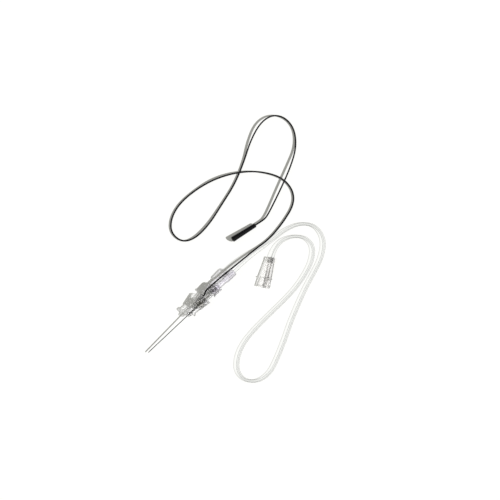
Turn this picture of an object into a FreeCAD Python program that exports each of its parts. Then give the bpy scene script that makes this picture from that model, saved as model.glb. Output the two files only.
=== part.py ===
"""A nerve stimulation needle with its screw-on injection line and its electric lead.

Frame: +Z up, millimetres, origin on the surface the needle lies on, under the middle of
the needle with its hub and connector. The needle points along -X and dips slightly, because
the hub lies on its front flange and on the rear rim of its barrel.
Lengths along the needle are counted from the needle's tip.
"""
import FreeCAD, Part
import Sketcher
import math
import os

Vector = FreeCAD.Vector
doc = FreeCAD.newDocument("NerveStimulationNeedle")

# Driving sizes, in millimetres and degrees
SIZES = {
    # needle
    "needle_reach": 50.0,
    "cannula_dia": 0.72,
    "lumen_dia": 0.41,
    "bevel_angle": 30.0,
    "coat_wall": 0.04,
    "coat_bare": 1.6,
    "coat_inside": 1.0,
    "cannula_setback": 0.3,
    # hub, from the nose to the rear
    "nose_wall": 1.2,
    "nose_tip_rad": 1.6,
    "nose_root_rad": 2.4,
    "nose_length": 4.9,
    "guard_seat": 2.0,
    "edge_round": 0.3,
    "front_flange_rad": 5.0,
    "front_flange_wall": 2.0,
    "shank_rad": 3.9,
    "shank_length": 5.5,
    "barrel_front_rad": 4.5,
    "barrel_rear_rad": 5.9,
    "barrel_length": 12.2,
    "barrel_wall": 0.8,
    "barrel_floor": 1.2,
    "core_rad": 2.6,
    "waist_rad": 3.0,
    "waist_length": 6.6,
    "rear_flange_rad": 5.2,
    "rear_flange_wall": 0.8,
    "passage_rad": 1.4,
    "window_length": 3.2,
    "window_width": 1.6,
    # screw luer connection
    "stub_rad": 3.35,
    "stub_length": 6.6,
    "mouth_rad": 2.15,
    "cone_slope": 0.03,
    "cone_depth": 10.0,
    "cone_engaged": 5.5,
    "cone_fit": 0.02,
    "thread_lead": 5.0,
    "lug_rad": 3.9,
    "lug_base": 1.2,
    "lug_crest": 0.7,
    "lug_rise": 1.0,
    "lug_setback": 0.35,
    "thread_root_rad": 4.08,
    "thread_crest_rad": 3.5,
    "ridge_base": 0.9,
    "ridge_crest": 0.5,
    "ridge_rise": 3.2,
    "thread_gap": 0.19,
    # locking collar
    "collar_gap": 0.3,
    "collar_rad": 4.55,
    "collar_rib": 0.2,
    "collar_rib_width": 0.5,
    "collar_ribs": 20.0,
    "rib_inset": 0.8,
    "rib_sunk": 0.05,
    "collar_play": 0.1,
    "collar_end_wall": 1.1,
    "collar_hole_gap": 0.2,
    # tube connector inside the collar
    "bore_rad": 0.8,
    "stop_ring_rad": 3.3,
    "stop_ring_wall": 0.85,
    "mouth_gap": 0.35,
    "neck_rad": 2.6,
    "bead_rise": 0.35,
    "bead_length": 0.9,
    "neck_length": 8.2,
    "grip_rad": 3.3,
    "grip_rib": 0.25,
    "grip_rib_width": 0.7,
    "grip_ribs": 10.0,
    "grip_length": 11.8,
    "grip_socket": 7.5,
    # injection line
    "tube_dia": 2.8,
    "tube_bore": 1.2,
    "tube_fit": 0.01,
    # injection port at the far end of the line
    "port_length": 29.5,
    "port_tail_rad": 2.6,
    "port_ring_rad": 4.1,
    "port_ring_wall": 1.0,
    "port_mouth_length": 8.2,
    "port_socket": 5.0,
    "tube_exit": 5.0,
    "wing_rad": 4.3,
    "wing_ring_rad": 3.8,
    "wing_root_rad": 2.3,
    "wing_wall": 1.0,
    # lead, its bared conductor and its seals
    "lead_dia": 1.5,
    "lead_side_rad": 3.42,
    "lead_side_angle": 28.0,
    "lead_entry": 3.4,
    "lead_past_rad": 6.2,
    "lead_past_rim": 1.0,
    "straight_exit": 7.0,
    "strand_dia": 0.6,
    "winding_gap": 0.02,
    "winding_pitch": 3.2,
    "winding_start": 1.7,
    "winding_length": 11.5,
    "tail_in_lead": 0.3,
    "joint_rad": 1.2,
    "seal_gap": 0.02,
    "seal_length": 6.0,
    # plug
    "plug_length": 26.0,
    "plug_open_rad": 2.6,
    "plug_wire_rad": 1.95,
    "plug_lip": 0.5,
    "socket_rad": 1.0,
    "socket_wall": 0.4,
    "socket_inset": 0.6,
    "socket_length": 13.0,
    "socket_slit": 0.3,
    "slit_length": 7.0,
    "crimp_rad": 0.7,
    "lead_in_plug": 6.0,
    "plug_fit": 0.01,
}

# Angles in the plane, from above
PLUG_HEADING = -10.6
PORT_HEADING = 215.0
PLUG_OPEN_END = (75.7, 24.0)
PORT_TUBE_END = (91.4, -14.3)

# Free part of the lead's route from the collar to the plug
LEAD_ROUTE = [
    (48.0, 4.9, 3.4),
    (60.5, 4.0, 3.8),
    (73.5, 3.2, 3.0),
    (86.5, 2.4, 1.2),
    (101.5, 1.1, 0.8),
    (121.5, 4.2, 0.8),
    (141.0, 9.5, 0.8),
    (150.0, 20.0, 0.8),
    (150.5, 35.5, 0.9),
    (140.5, 52.0, 2.8),
    (126.0, 65.5, 3.5),
    (106.5, 76.5, 2.9),
    (85.5, 82.5, 0.9),
    (64.0, 84.0, 0.8),
    (48.0, 79.0, 0.8),
    (38.5, 69.0, 0.8),
    (40.0, 55.5, 0.9),
    (51.0, 49.5, 1.8),
    (70.0, 50.5, 1.5),
    (92.5, 56.5, 0.8),
    (114.0, 62.0, 0.8),
    (135.0, 71.5, 0.8),
    (152.5, 81.0, 2.2),
    (171.0, 87.0, 3.8),
    (185.0, 85.0, 3.0),
    (192.5, 75.0, 1.2),
    (191.0, 61.0, 0.8),
    (180.0, 47.5, 1.4),
    (163.5, 37.5, 3.4),
    (143.5, 28.5, 3.6),
    (123.5, 20.5, 2.6),
    (113.5, 17.6, 2.2),
]

# Free part of the injection line's route from the grip to the injection port
TUBE_ROUTE = [
    (78.5, 0.0, 5.6),
    (92.0, -1.2, 3.1),
    (105.0, -2.4, 1.7),
    (119.5, -4.5, 1.5),
    (133.5, -10.0, 1.5),
    (141.5, -21.0, 1.5),
    (138.5, -35.5, 1.5),
    (125.5, -46.0, 1.5),
    (111.0, -51.0, 1.5),
    (95.0, -56.0, 1.5),
    (78.0, -63.5, 1.5),
    (62.0, -71.0, 1.5),
    (45.5, -80.0, 1.5),
    (30.5, -87.0, 1.5),
    (16.0, -93.0, 1.5),
    (2.0, -91.5, 1.5),
    (-7.5, -82.5, 1.5),
    (-7.5, -70.0, 1.5),
    (2.5, -60.0, 1.5),
    (16.5, -54.0, 1.5),
    (33.5, -52.0, 1.5),
    (51.0, -51.5, 1.5),
    (69.0, -51.0, 1.5),
    (85.5, -50.2, 1.5),
    (101.0, -47.5, 1.5),
    (116.0, -42.5, 1.5),
    (126.5, -33.5, 1.5),
    (127.0, -22.0, 1.6),
    (118.5, -12.5, 1.6),
    (107.5, -8.2, 1.7),
]

# Where a rectangle's corners stand before its sizes are set
GUESS_CORNERS = [(1.0, -1.0, 0.0), (3.0, -1.0, 0.0), (3.0, 1.0, 0.0), (1.0, 1.0, 0.0)]

# Part of a run's length that the arcs at its two ends may take up
ARC_SHARE = 0.45

# Size of the round knuckle where the strand leaves the winding, against the strand
KNUCKLE_SHARE = 1.02

# How far a swept cord's volume may be from its section times its length
VOLUME_SLACK = 0.01


def make_sheet():
    """Spreadsheet with one named size a row."""
    sheet = doc.addObject("Spreadsheet::Sheet", "Sizes")
    for row, (alias, number) in enumerate(SIZES.items(), start=1):
        sheet.set("A%d" % row, alias)
        sheet.set("B%d" % row, repr(number))
        sheet.setAlias("B%d" % row, alias)
    doc.recompute()
    return sheet


def make_stations():
    """Places along the needle, worked out from the sizes one after the other."""
    stations = doc.addObject("App::VarSet", "Stations")
    chain = {
        "flange_front": "Sizes.needle_reach + Sizes.nose_length",
        "flange_rear": "Stations.flange_front + Sizes.front_flange_wall",
        "barrel_front": "Stations.flange_rear + Sizes.shank_length",
        "barrel_floor_rear": "Stations.barrel_front + Sizes.barrel_floor",
        "window_rear": "Stations.barrel_floor_rear + Sizes.window_length",
        "barrel_rear": "Stations.barrel_front + Sizes.barrel_length",
        "disc_front": "Stations.barrel_rear + Sizes.waist_length",
        "disc_rear": "Stations.disc_front + Sizes.rear_flange_wall",
        "luer_mouth": "Stations.disc_rear + Sizes.stub_length",
        "cone_bottom": "Stations.luer_mouth - Sizes.cone_depth",
        "cannula_rear": "Stations.cone_bottom - Sizes.cannula_setback",
        "male_tip": "Stations.luer_mouth - Sizes.cone_engaged",
        "collar_front": "Stations.disc_rear + Sizes.collar_gap",
        "stop_front": "Stations.luer_mouth + Sizes.mouth_gap",
        "stop_rear": "Stations.stop_front + Sizes.stop_ring_wall",
        "collar_step": "Stations.stop_rear + Sizes.collar_play",
        "collar_rear": "Stations.collar_step + Sizes.collar_end_wall",
        "bead_front": "Stations.collar_rear + Sizes.collar_play",
        "bead_rear": "Stations.bead_front + Sizes.bead_length",
        "grip_front": "Stations.collar_rear + Sizes.neck_length",
        "grip_rear": "Stations.grip_front + Sizes.grip_length",
        "grip_socket_end": "Stations.grip_rear - Sizes.grip_socket",
        "lead_end": "Stations.barrel_floor_rear + Sizes.lead_entry",
        "winding_front": "Sizes.needle_reach + Sizes.winding_start",
        "winding_rear": "Stations.winding_front + Sizes.winding_length",
        "lug_taper": "(Sizes.lug_base - Sizes.lug_crest) / (Sizes.lug_rad - Sizes.stub_rad + Sizes.rib_sunk)",
        "lug_at_crest": "Sizes.lug_base - Stations.lug_taper * "
                        "(Sizes.thread_crest_rad - Sizes.stub_rad + Sizes.rib_sunk)",
        "flank_step": "(Stations.lug_at_crest + Sizes.ridge_crest) / 2 + Sizes.thread_gap",
        "lug_middle": "Stations.luer_mouth - Sizes.lug_setback - Sizes.lug_base / 2",
        "ridge_middle": "Stations.lug_middle - Stations.flank_step - Sizes.thread_lead / 2",
        "ridge_front": "Stations.ridge_middle - Sizes.ridge_base / 2",
    }
    for name, formula in chain.items():
        stations.addProperty("App::PropertyFloat", name, "Along")
        stations.setExpression(name, formula)
        doc.recompute()
    return stations


SHEET = make_sheet()
STATIONS = make_stations()


def size(alias):
    """A driving size from the sheet."""
    return float(SHEET.get(alias))


def station(name):
    """A place along the needle."""
    return float(getattr(STATIONS, name))


def lying_placement():
    """The needle and hub as they rest on the front flange and the barrel's rear rim."""
    drop = size("barrel_rear_rad") - size("front_flange_rad")
    foot = station("flange_front") + size("edge_round")
    between = station("barrel_rear") - foot
    dip = math.atan2(drop, between)
    rear_low = station("grip_rear") * math.cos(dip) + size("grip_rad") * math.sin(dip)
    tip_front = size("cannula_dia") / 2 * math.sin(dip)
    middle = (rear_low + tip_front) / 2
    height = size("barrel_rear_rad") * math.cos(dip) - station("barrel_rear") * math.sin(dip)
    turn = FreeCAD.Rotation(Vector(0, 1, 0), -math.degrees(dip))
    return FreeCAD.Placement(Vector(-middle, 0, height), turn)


LYING = lying_placement()


def side_point(along, radial):
    """A point beside the hub, on the side and height where the lead runs."""
    low = math.radians(size("lead_side_angle"))
    local = Vector(along, radial * math.cos(low), -radial * math.sin(low))
    return LYING.multVec(local)


def origin_plane(body, role):
    """One of a body's own origin planes."""
    for feature in body.Origin.OriginFeatures:
        if feature.Role == role:
            return feature
    raise ValueError("no plane " + role)


def outline_sketch(body, name, points):
    """Closed outline of straight edges in the body's XZ plane.

    points are pairs of formulas: along the axis, out from the axis.
    """
    sketch = body.newObject("Sketcher::SketchObject", name)
    sketch.AttachmentSupport = [(origin_plane(body, "XZ_Plane"), "")]
    sketch.MapMode = "FlatFace"
    count = len(points)
    first_guess = []
    for i in range(count):
        turn = 2 * math.pi * i / count
        first_guess.append(Vector(60 + 40 * math.sin(turn), 5 + 4 * math.cos(turn), 0))
    for i in range(count):
        sketch.addGeometry(Part.LineSegment(first_guess[i], first_guess[(i + 1) % count]))
    for i in range(count):
        sketch.addConstraint(Sketcher.Constraint("Coincident", i, 2, (i + 1) % count, 1))
    for i, (along, out) in enumerate(points):
        fix_distance(sketch, "DistanceX", i, along)
        fix_distance(sketch, "DistanceY", i, out)
    doc.recompute()
    return sketch


def rectangle(sketch, corners):
    """Four straight edges between corners given as pairs of formulas, counterclockwise."""
    for i in range(4):
        here = Vector(*GUESS_CORNERS[i])
        there = Vector(*GUESS_CORNERS[(i + 1) % 4])
        sketch.addGeometry(Part.LineSegment(here, there))
    for i in range(4):
        sketch.addConstraint(Sketcher.Constraint("Coincident", i, 2, (i + 1) % 4, 1))
    for i, (first, second) in enumerate(corners):
        fix_distance(sketch, "DistanceX", i, first)
        fix_distance(sketch, "DistanceY", i, second)
    doc.recompute()


def fix_distance(sketch, kind, line, formula):
    """Ties the start of a line to the sketch's origin by a formula."""
    number = sketch.addConstraint(Sketcher.Constraint(kind, -1, 1, line, 1, 1.0))
    sketch.setExpression("Constraints[%d]" % number, formula)


def turned_body(name, label, points):
    """A body turned about its own X axis from an outline."""
    body = doc.addObject("PartDesign::Body", name)
    body.Label = label
    sketch = outline_sketch(body, name + "Outline", points)
    turned = body.newObject("PartDesign::Revolution", name + "Turned")
    turned.Profile = sketch
    turned.ReferenceAxis = (sketch, ["H_Axis"])
    turned.Angle = 360
    doc.recompute()
    return body


def screw_ridges(body, name, points, rise):
    """Two equal ridges on the luer screw's lead, half a turn apart.

    points outline one ridge where it starts, and rise is how far it climbs.
    """
    sketch = outline_sketch(body, name + "Section", points)
    ridge = body.newObject("PartDesign::AdditiveHelix", name + "Ridge")
    ridge.Profile = sketch
    ridge.ReferenceAxis = (sketch, ["H_Axis"])
    ridge.Mode = "pitch-height-angle"
    ridge.setExpression("Pitch", "Sizes.thread_lead")
    ridge.setExpression("Height", rise)
    ridge.LeftHanded = False
    ridge.Reversed = False
    doc.recompute()
    pair = body.newObject("PartDesign::PolarPattern", name + "Pair")
    pair.Originals = [ridge]
    pair.Axis = (sketch, ["H_Axis"])
    pair.Angle = 360
    pair.Occurrences = 2
    body.Tip = pair
    doc.recompute()


def lengthwise_ribs(body, name, start, length, inner, outer, width, count):
    """Straight ribs along the body, evenly spaced round it."""
    sketch = body.newObject("Sketcher::SketchObject", name + "Section")
    sketch.AttachmentSupport = [(origin_plane(body, "YZ_Plane"), "")]
    sketch.MapMode = "FlatFace"
    sketch.setExpression("AttachmentOffset.Base.z", start)
    half = "(%s) / 2" % width
    rectangle(sketch, [("-" + half, inner), (half, inner), (half, outer), ("-" + half, outer)])
    rib = body.newObject("PartDesign::Pad", name + "Rib")
    rib.Profile = sketch
    rib.setExpression("Length", length)
    doc.recompute()
    ring = body.newObject("PartDesign::PolarPattern", name + "Ring")
    ring.Originals = [rib]
    ring.Axis = (sketch, ["N_Axis"])
    ring.Angle = 360
    ring.setExpression("Occurrences", count)
    body.Tip = ring
    doc.recompute()


def rod_along_x(name, radius, length):
    """A plain rod lying on the X axis."""
    rod = doc.addObject("Part::Cylinder", name)
    rod.Placement = FreeCAD.Placement(Vector(0, 0, 0), FreeCAD.Rotation(Vector(0, 1, 0), 90))
    rod.setExpression("Radius", radius)
    rod.setExpression("Height", length)
    return rod


def make_cannula():
    """Steel tube ground to one slanting bevel at the tip."""
    to_rear = "Stations.cannula_rear"
    outer = rod_along_x("CannulaOutside", "Sizes.cannula_dia / 2", to_rear)
    bore = rod_along_x("CannulaBore", "Sizes.lumen_dia / 2", to_rear)
    wheel = doc.addObject("Part::Box", "BevelGrind")
    wheel.Length = 6
    wheel.Width = 4
    wheel.Height = 4
    slant = math.radians(size("bevel_angle"))
    low = size("cannula_dia") / 2
    start = Vector(-2 * math.cos(slant), -2, -low - 2 * math.sin(slant))
    turn = FreeCAD.Rotation(Vector(0, 1, 0), -size("bevel_angle"))
    wheel.Placement = FreeCAD.Placement(start, turn)
    tube = doc.addObject("Part::Cut", "CannulaTube")
    tube.Base = outer
    tube.Tool = bore
    ground = doc.addObject("Part::Cut", "Cannula")
    ground.Base = tube
    ground.Tool = wheel
    ground.Label = "cannula"
    ground.Placement = LYING
    return ground


def make_coating():
    """Thin insulating coat that leaves only the tip of the needle bare."""
    inner = "Sizes.cannula_dia / 2"
    outer = "Sizes.cannula_dia / 2 + Sizes.coat_wall"
    rear = "Sizes.needle_reach + Sizes.coat_inside"
    body = turned_body("Coating", "needle_coating", [
        ("Sizes.coat_bare", inner), (rear, inner), (rear, outer), ("Sizes.coat_bare", outer)])
    body.Placement = LYING
    return body


def make_hub():
    """Clear moulded hub: nose, finger flange, hollow barrel, disc and screw luer socket."""
    nose = "Sizes.needle_reach"
    cut = "Sizes.edge_round"
    needle_hole = "Sizes.cannula_dia / 2 + Sizes.coat_wall + Sizes.seal_gap"
    flare = "(Sizes.barrel_rear_rad - Sizes.barrel_front_rad) * Sizes.barrel_floor / Sizes.barrel_length"
    points = [
        (nose, needle_hole),
        (nose, "Sizes.nose_tip_rad - " + cut),
        (nose + " + " + cut, "Sizes.nose_tip_rad"),
        ("Stations.flange_front - Sizes.guard_seat", "Sizes.nose_root_rad"),
        ("Stations.flange_front", "Sizes.nose_root_rad"),
        ("Stations.flange_front", "Sizes.front_flange_rad - " + cut),
        ("Stations.flange_front + " + cut, "Sizes.front_flange_rad"),
        ("Stations.flange_rear - " + cut, "Sizes.front_flange_rad"),
        ("Stations.flange_rear", "Sizes.front_flange_rad - " + cut),
        ("Stations.flange_rear", "Sizes.shank_rad"),
        ("Stations.barrel_front", "Sizes.shank_rad"),
        ("Stations.barrel_front", "Sizes.barrel_front_rad - " + cut),
        ("Stations.barrel_front + " + cut, "Sizes.barrel_front_rad"),
        ("Stations.barrel_rear", "Sizes.barrel_rear_rad"),
        ("Stations.barrel_rear", "Sizes.barrel_rear_rad - Sizes.barrel_wall"),
        ("Stations.barrel_floor_rear", "Sizes.barrel_front_rad - Sizes.barrel_wall + " + flare),
        ("Stations.barrel_floor_rear", "Sizes.core_rad"),
        ("Stations.barrel_rear", "Sizes.core_rad"),
        ("Stations.disc_front", "Sizes.waist_rad"),
        ("Stations.disc_front", "Sizes.rear_flange_rad - " + cut),
        ("Stations.disc_front + " + cut, "Sizes.rear_flange_rad"),
        ("Stations.disc_rear - " + cut, "Sizes.rear_flange_rad"),
        ("Stations.disc_rear", "Sizes.rear_flange_rad - " + cut),
        ("Stations.disc_rear", "Sizes.stub_rad"),
        ("Stations.luer_mouth", "Sizes.stub_rad"),
        ("Stations.luer_mouth", "Sizes.mouth_rad"),
        ("Stations.cone_bottom", "Sizes.mouth_rad - Sizes.cone_slope * Sizes.cone_depth"),
        ("Stations.cone_bottom", "Sizes.passage_rad"),
        (nose + " + Sizes.nose_wall", "Sizes.passage_rad"),
        (nose + " + Sizes.nose_wall", needle_hole),
    ]
    body = turned_body("Hub", "needle_hub", points)
    cut_wire_window(body)
    luer_lugs(body, "HubLug", "Stations.luer_mouth")
    body.Placement = LYING
    return body


def cut_wire_window(body):
    """Slot from the hollow barrel through the core, where the lead's strand passes."""
    plane = origin_plane(body, "XZ_Plane")
    sketch = body.newObject("Sketcher::SketchObject", "WindowSketch")
    sketch.AttachmentSupport = [(plane, "")]
    sketch.MapMode = "FlatFace"
    turn = FreeCAD.Rotation(Vector(1, 0, 0), -size("lead_side_angle"))
    sketch.AttachmentOffset = FreeCAD.Placement(Vector(0, 0, 0), turn)
    half = "Sizes.window_width / 2"
    near = "Stations.barrel_floor_rear"
    far = "Stations.barrel_floor_rear + Sizes.window_length"
    rectangle(sketch, [(near, "-" + half), (far, "-" + half), (far, half), (near, half)])
    before = body.Shape.Volume
    window = body.newObject("PartDesign::Pocket", "WireWindow")
    window.Profile = sketch
    window.setExpression("Length", "Sizes.core_rad + Sizes.seal_gap")
    window.Reversed = False
    doc.recompute()
    if body.Shape.Volume >= before:
        raise ValueError("the wire window cuts nothing")


def luer_lugs(body, name, mouth):
    """Two screw lugs on the outside of a luer socket, set back a little from its mouth."""
    rear = mouth + " - Sizes.lug_setback"
    lean = "(Sizes.lug_base - Sizes.lug_crest) / 2"
    sunk = "Sizes.stub_rad - Sizes.rib_sunk"
    points = [
        (rear + " - Sizes.lug_rise - Sizes.lug_base", sunk),
        (rear + " - Sizes.lug_rise - Sizes.lug_base + " + lean, "Sizes.lug_rad"),
        (rear + " - Sizes.lug_rise - " + lean, "Sizes.lug_rad"),
        (rear + " - Sizes.lug_rise", sunk),
    ]
    screw_ridges(body, name, points, "Sizes.lug_rise")


def lead_direction():
    """Sideways direction from the needle's axis towards the lead, before the hub is laid down."""
    low = math.radians(size("lead_side_angle"))
    return Vector(0, math.cos(low), -math.sin(low))


def make_winding(lead):
    """Bared strand of the lead, carried in from the lead and wound round the cannula."""
    radius = size("strand_dia") / 2
    mean = size("cannula_dia") / 2 + size("winding_gap") + radius
    front = station("winding_front")
    rear = station("winding_rear")
    helix = Part.makeHelix(size("winding_pitch"), rear - front, mean)
    slope = math.atan2(size("winding_pitch"), 2 * math.pi * mean)
    heading = Vector(0, math.cos(slope), math.sin(slope))
    section = Part.Wire(Part.makeCircle(radius, Vector(mean, 0, 0), heading))
    coil = Part.Wire(helix.Edges).makePipeShell([section], True, True)
    side = lead_direction()
    along = Vector(1, 0, 0)
    lay = FreeCAD.Rotation(side, along.cross(side), along, "ZXY")
    turned_by = 360 * (rear - front) / size("winding_pitch")
    unwind = FreeCAD.Rotation(Vector(0, 0, 1), -turned_by)
    coil.Placement = FreeCAD.Placement(Vector(front, 0, 0), lay.multiply(unwind))
    inner = along * rear + side * mean
    outer = along * (station("lead_end") + size("tail_in_lead")) + side * size("lead_side_rad")
    tail = Part.makeCylinder(radius, (outer - inner).Length, inner, outer - inner)
    knuckle = Part.makeSphere(radius * KNUCKLE_SHARE, inner)
    shape = coil.fuse([knuckle, tail]).cut(lead)
    return shape_object("ContactWinding", "contact_winding", shape)


def make_solder(winding):
    """Bead of solder that holds the winding's end on the cannula."""
    bead = Part.makeSphere(size("joint_rad"), Vector(station("winding_rear"), 0, 0))
    needle = Part.makeCylinder(size("cannula_dia") / 2, size("needle_reach") * 2,
                               Vector(0, 0, 0), Vector(1, 0, 0))
    return shape_object("SolderJoint", "solder_joint", bead.cut([needle, winding]))


def shape_object(name, label, shape):
    """A piece on the needle whose shape is worked out in code."""
    piece = doc.addObject("Part::Feature", name)
    piece.Label = label
    piece.Shape = shape
    piece.Placement = LYING
    return piece


def make_cannula_seal():
    """Ring of adhesive between the cannula and the hub's passage, behind the window."""
    front = "Stations.window_rear + Sizes.seal_gap"
    body = turned_body("CannulaSeal", "cannula_seal", [
        (front, "Sizes.cannula_dia / 2"), ("Stations.cannula_rear", "Sizes.cannula_dia / 2"),
        ("Stations.cannula_rear", "Sizes.passage_rad"), (front, "Sizes.passage_rad")])
    body.Placement = LYING
    return body


def make_lead_sealant(lead, winding):
    """Sealant in the bottom of the hollow barrel, round the end of the lead."""
    front = station("barrel_floor_rear")
    rear = front + size("seal_length")
    flare = (size("barrel_rear_rad") - size("barrel_front_rad")) / size("barrel_length")
    floor_rad = size("barrel_front_rad") - size("barrel_wall") + flare * size("barrel_floor")
    wall_slope = (size("barrel_rear_rad") - size("barrel_wall") - floor_rad) / (
        station("barrel_rear") - front)
    rear_rad = floor_rad + wall_slope * size("seal_length")
    along = Vector(1, 0, 0)
    outer = Part.makeCone(floor_rad, rear_rad, rear - front, Vector(front, 0, 0), along)
    core = Part.makeCylinder(size("core_rad"), rear - front, Vector(front, 0, 0), along)
    return shape_object("LeadSealant", "lead_sealant", outer.cut([core, lead, winding]))


def make_spigot():
    """Tube connector: male luer cone, stop ring, neck with a snap bead, and the tube grip."""
    cut = "Sizes.edge_round"
    tube_hole = "Sizes.tube_dia / 2 + Sizes.tube_fit"
    body = turned_body("Spigot", "luer_spigot", [
        ("Stations.male_tip", "Sizes.bore_rad"),
        ("Stations.male_tip", "Sizes.mouth_rad - Sizes.cone_fit - Sizes.cone_slope * Sizes.cone_engaged"),
        ("Stations.stop_front", "Sizes.mouth_rad - Sizes.cone_fit + Sizes.cone_slope * Sizes.mouth_gap"),
        ("Stations.stop_front", "Sizes.stop_ring_rad"),
        ("Stations.stop_rear", "Sizes.stop_ring_rad"),
        ("Stations.stop_rear", "Sizes.neck_rad"),
        ("Stations.bead_front", "Sizes.neck_rad"),
        ("Stations.bead_front", "Sizes.neck_rad + Sizes.bead_rise"),
        ("Stations.bead_rear", "Sizes.neck_rad"),
        ("Stations.grip_front", "Sizes.neck_rad"),
        ("Stations.grip_front", "Sizes.grip_rad - " + cut),
        ("Stations.grip_front + " + cut, "Sizes.grip_rad"),
        ("Stations.grip_rear - " + cut, "Sizes.grip_rad"),
        ("Stations.grip_rear", "Sizes.grip_rad - " + cut),
        ("Stations.grip_rear", tube_hole),
        ("Stations.grip_socket_end", tube_hole),
        ("Stations.grip_socket_end", "Sizes.bore_rad"),
    ])
    lengthwise_ribs(body, "GripRib", "Stations.grip_front + Sizes.rib_inset",
                    "Sizes.grip_length - 2 * Sizes.rib_inset",
                    "Sizes.grip_rad - Sizes.rib_sunk", "Sizes.grip_rad + Sizes.grip_rib",
                    "Sizes.grip_rib_width", "Sizes.grip_ribs")
    body.Placement = LYING
    return body


def make_collar():
    """Locking collar: ribbed sleeve with two screw ridges inside, free to turn on the neck.

    The ridges start where the hub's lugs end, so half a turn lets the lugs go.
    """
    cut = "Sizes.edge_round"
    body = turned_body("Collar", "locking_collar", [
        ("Stations.collar_front", "Sizes.thread_root_rad"),
        ("Stations.collar_front", "Sizes.collar_rad - " + cut),
        ("Stations.collar_front + " + cut, "Sizes.collar_rad"),
        ("Stations.collar_rear - " + cut, "Sizes.collar_rad"),
        ("Stations.collar_rear", "Sizes.collar_rad - " + cut),
        ("Stations.collar_rear", "Sizes.neck_rad + Sizes.collar_hole_gap"),
        ("Stations.collar_step", "Sizes.neck_rad + Sizes.collar_hole_gap"),
        ("Stations.collar_step", "Sizes.thread_root_rad"),
    ])
    lengthwise_ribs(body, "CollarRib", "Stations.collar_front + Sizes.rib_inset",
                    "Stations.collar_rear - Stations.collar_front - 2 * Sizes.rib_inset",
                    "Sizes.collar_rad - Sizes.rib_sunk", "Sizes.collar_rad + Sizes.collar_rib",
                    "Sizes.collar_rib_width", "Sizes.collar_ribs")
    lean = "(Sizes.ridge_base - Sizes.ridge_crest) / 2"
    sunk = "Sizes.thread_root_rad + Sizes.rib_sunk"
    points = [
        ("Stations.ridge_front", sunk),
        ("Stations.ridge_front + " + lean, "Sizes.thread_crest_rad"),
        ("Stations.ridge_front + Sizes.ridge_base - " + lean, "Sizes.thread_crest_rad"),
        ("Stations.ridge_front + Sizes.ridge_base", sunk),
    ]
    screw_ridges(body, "CollarScrew", points, "Sizes.ridge_rise")
    screwed = FreeCAD.Rotation(Vector(1, 0, 0), 360 * size("lug_rise") / size("thread_lead"))
    body.Placement = LYING.multiply(FreeCAD.Placement(Vector(0, 0, 0), screwed))
    return body


def port_placement():
    """The injection port lies on its tail's edge and on its ring, wings level, mouth end high."""
    between = size("port_length") - size("port_mouth_length") - size("port_ring_wall")
    rise = math.atan2(size("port_ring_rad") - size("port_tail_rad"), between)
    height = size("port_tail_rad") * math.cos(rise) - size("edge_round") * math.sin(rise)
    heading = FreeCAD.Rotation(Vector(0, 0, 1), PORT_HEADING)
    tilt = FreeCAD.Rotation(Vector(0, 1, 0), -math.degrees(rise))
    level_wings = FreeCAD.Rotation(Vector(1, 0, 0), 90)
    turn = heading.multiply(tilt).multiply(level_wings)
    return FreeCAD.Placement(Vector(PORT_TUBE_END[0], PORT_TUBE_END[1], height), turn)


def make_port():
    """Injection port: the socket that a syringe screws into, glued on the line's far end."""
    cut = "Sizes.edge_round"
    tube_hole = "Sizes.tube_dia / 2 + Sizes.tube_fit"
    ring_rear = "Sizes.port_length - Sizes.port_mouth_length"
    ring_front = ring_rear + " - Sizes.port_ring_wall"
    body = turned_body("Port", "injection_port", [
        ("0", tube_hole),
        ("0", "Sizes.port_tail_rad - " + cut),
        (cut, "Sizes.port_tail_rad"),
        (ring_front, "Sizes.stub_rad"),
        (ring_front, "Sizes.port_ring_rad - " + cut),
        (ring_front + " + " + cut, "Sizes.port_ring_rad"),
        (ring_rear + " - " + cut, "Sizes.port_ring_rad"),
        (ring_rear, "Sizes.port_ring_rad - " + cut),
        (ring_rear, "Sizes.stub_rad"),
        ("Sizes.port_length", "Sizes.stub_rad"),
        ("Sizes.port_length", "Sizes.mouth_rad"),
        ("Sizes.port_length - Sizes.cone_depth", "Sizes.mouth_rad - Sizes.cone_slope * Sizes.cone_depth"),
        ("Sizes.port_length - Sizes.cone_depth", "Sizes.tube_bore / 2"),
        ("Sizes.port_socket", "Sizes.tube_bore / 2"),
        ("Sizes.port_socket", tube_hole),
    ])
    grip_wings(body, [
        (cut, "Sizes.wing_root_rad"),
        (cut, "Sizes.wing_rad - " + cut),
        (cut + " + " + cut, "Sizes.wing_rad"),
        (ring_front + " + Sizes.rib_sunk", "Sizes.wing_ring_rad"),
        (ring_front + " + Sizes.rib_sunk", "Sizes.wing_root_rad"),
    ])
    luer_lugs(body, "PortLug", "Sizes.port_length")
    body.Placement = port_placement()
    return body


def grip_wings(body, points):
    """Two flat wings opposite each other, which narrow from the tail to the ring."""
    sketch = outline_sketch(body, "WingOutline", points)
    wing = body.newObject("PartDesign::Pad", "Wing")
    wing.Profile = sketch
    wing.Midplane = True
    wing.setExpression("Length", "Sizes.wing_wall")
    doc.recompute()
    pair = body.newObject("PartDesign::PolarPattern", "WingPair")
    pair.Originals = [wing]
    pair.Axis = (sketch, ["H_Axis"])
    pair.Angle = 360
    pair.Occurrences = 2
    body.Tip = pair
    doc.recompute()


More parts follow.
